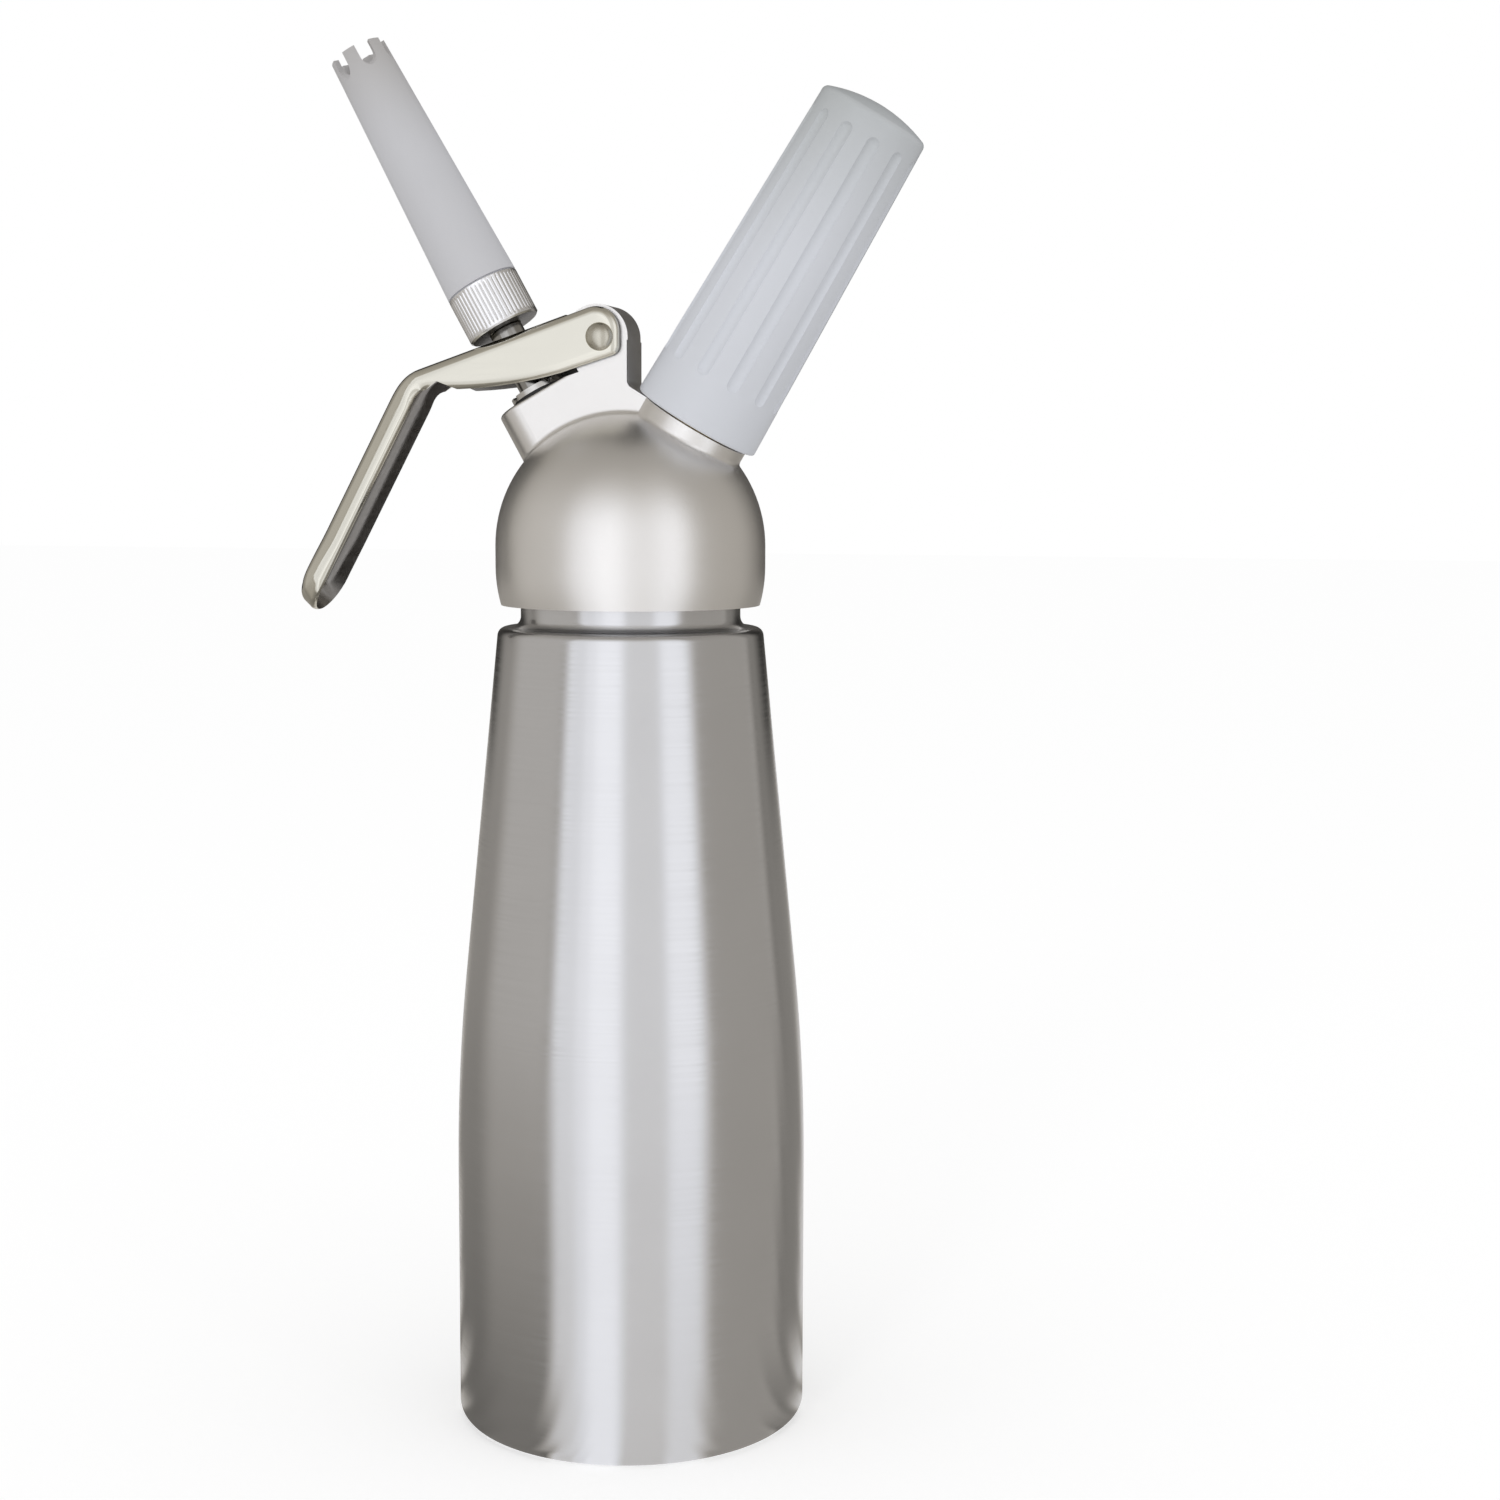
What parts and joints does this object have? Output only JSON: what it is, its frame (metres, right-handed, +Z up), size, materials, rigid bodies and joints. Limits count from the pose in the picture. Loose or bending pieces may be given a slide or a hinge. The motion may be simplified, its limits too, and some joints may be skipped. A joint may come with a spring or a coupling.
{
  "type": "whipped cream dispenser",
  "caption": "Whipped cream dispenser: tapered bottle, screw-on domed head, hinged lever over a sprung valve, notched nozzle and a fluted gas charger holder.",
  "frame": {"origin": "centre of the ring the bottle stands on", "axes": "+Z up along the bottle's axis, +X towards the gas charger holder, -X towards the nozzle and lever"},
  "size_m": [0.1472, 0.0814, 0.3201],
  "materials": {
    "bottle_aluminium": "brushed round its axis, satin",
    "cast_aluminium": "bead-blasted satin",
    "collar_aluminium": "straight-knurled, bright",
    "lever_steel": "polished sheet",
    "pin_steel": "polished rivet",
    "stem_steel": "turned",
    "nut_steel": "turned",
    "spring_steel": "drawn wire",
    "charger_steel": "zinc plated",
    "post_brass": "turned",
    "cap_brass": "thin foil cap",
    "frosted_plastic": "frosted",
    "holder_plastic": "moulded satin",
    "black_fibre": "matt",
    "black_rubber": "matt",
    "silicone": "matt"
  },
  "bodies": {
    "bottle": {"bottle": "bottle_aluminium"},
    "gasket": {"head_gasket": "silicone"},
    "head": {"head_casting": "cast_aluminium", "valve_guide_nut": "nut_steel", "guide_washer": "black_fibre", "charger_post": "post_brass", "piercing_pin": "stem_steel", "inlet_gasket": "black_rubber", "inlet_check_valve": "black_rubber", "valve_spring": "spring_steel"},
    "lever": {"lever": "lever_steel", "lever_pin": "pin_steel"},
    "valve": {"valve_stem": "stem_steel", "stem_o_ring": "black_rubber", "valve_seal": "black_rubber", "seal_nut": "nut_steel", "thrust_nut": "nut_steel"},
    "nozzle_seal": {"nozzle_gasket": "silicone"},
    "nozzle": {"nozzle_collar": "collar_aluminium", "decorator_tip": "frosted_plastic"},
    "charger": {"n2o_charger": "charger_steel", "charger_seal_cap": "cap_brass"},
    "holder": {"charger_holder": "holder_plastic"}
  },
  "joints": [
    {"name": "head_lift", "type": "slide", "parent": "bottle", "child": "gasket", "axis": [0, 0, 1], "range_m": [0, 0.0128]},
    {"name": "head_turn", "type": "hinge", "parent": "gasket", "child": "head", "pos_m": [0, 0, 0.2066], "axis": [0, 0, 1], "range_deg": [0, 1440]},
    {"name": "lever_pivot", "type": "hinge", "parent": "head", "child": "lever", "pos_m": [-0.00511, 0, 0.25163], "axis": [0, -1, 0], "range_deg": [0, 10], "stiffness_Nm_per_rad": 0.6, "springref_deg": -12.15},
    {"name": "valve_slide", "type": "slide", "parent": "head", "child": "valve", "axis": [0.4848, 0, -0.8746], "range_m": [0, 0.00268], "deforming": ["valve_spring"]},
    {"name": "nozzle_lift", "type": "slide", "parent": "valve", "child": "nozzle_seal", "axis": [-0.4848, 0, 0.8746], "range_m": [0, 0.0075]},
    {"name": "nozzle_turn", "type": "hinge", "parent": "nozzle_seal", "child": "nozzle", "pos_m": [-0.0353, 0, 0.26388], "axis": [-0.4848, 0, 0.8746], "range_deg": [0, 2160]},
    {"name": "charger_slide", "type": "slide", "parent": "head", "child": "charger", "axis": [0.515, 0, 0.8572], "range_m": [0, 0.015]},
    {"name": "holder_turn", "type": "hinge", "parent": "charger", "child": "holder", "pos_m": [0.02298, 0, 0.24505], "axis": [0.515, 0, 0.8572], "range_deg": [0, 2160]}
  ],
  "couplings": [
    {"joint": "head_lift", "follows": "head_turn", "m_per_rad": 0.0005093},
    {"joint": "valve_slide", "follows": "lever_pivot", "m_per_rad": 0.015373},
    {"joint": "nozzle_lift", "follows": "nozzle_turn", "m_per_rad": 0.00019894},
    {"joint": "charger_slide", "follows": "holder_turn", "m_per_rad": 0.00039789}
  ]
}
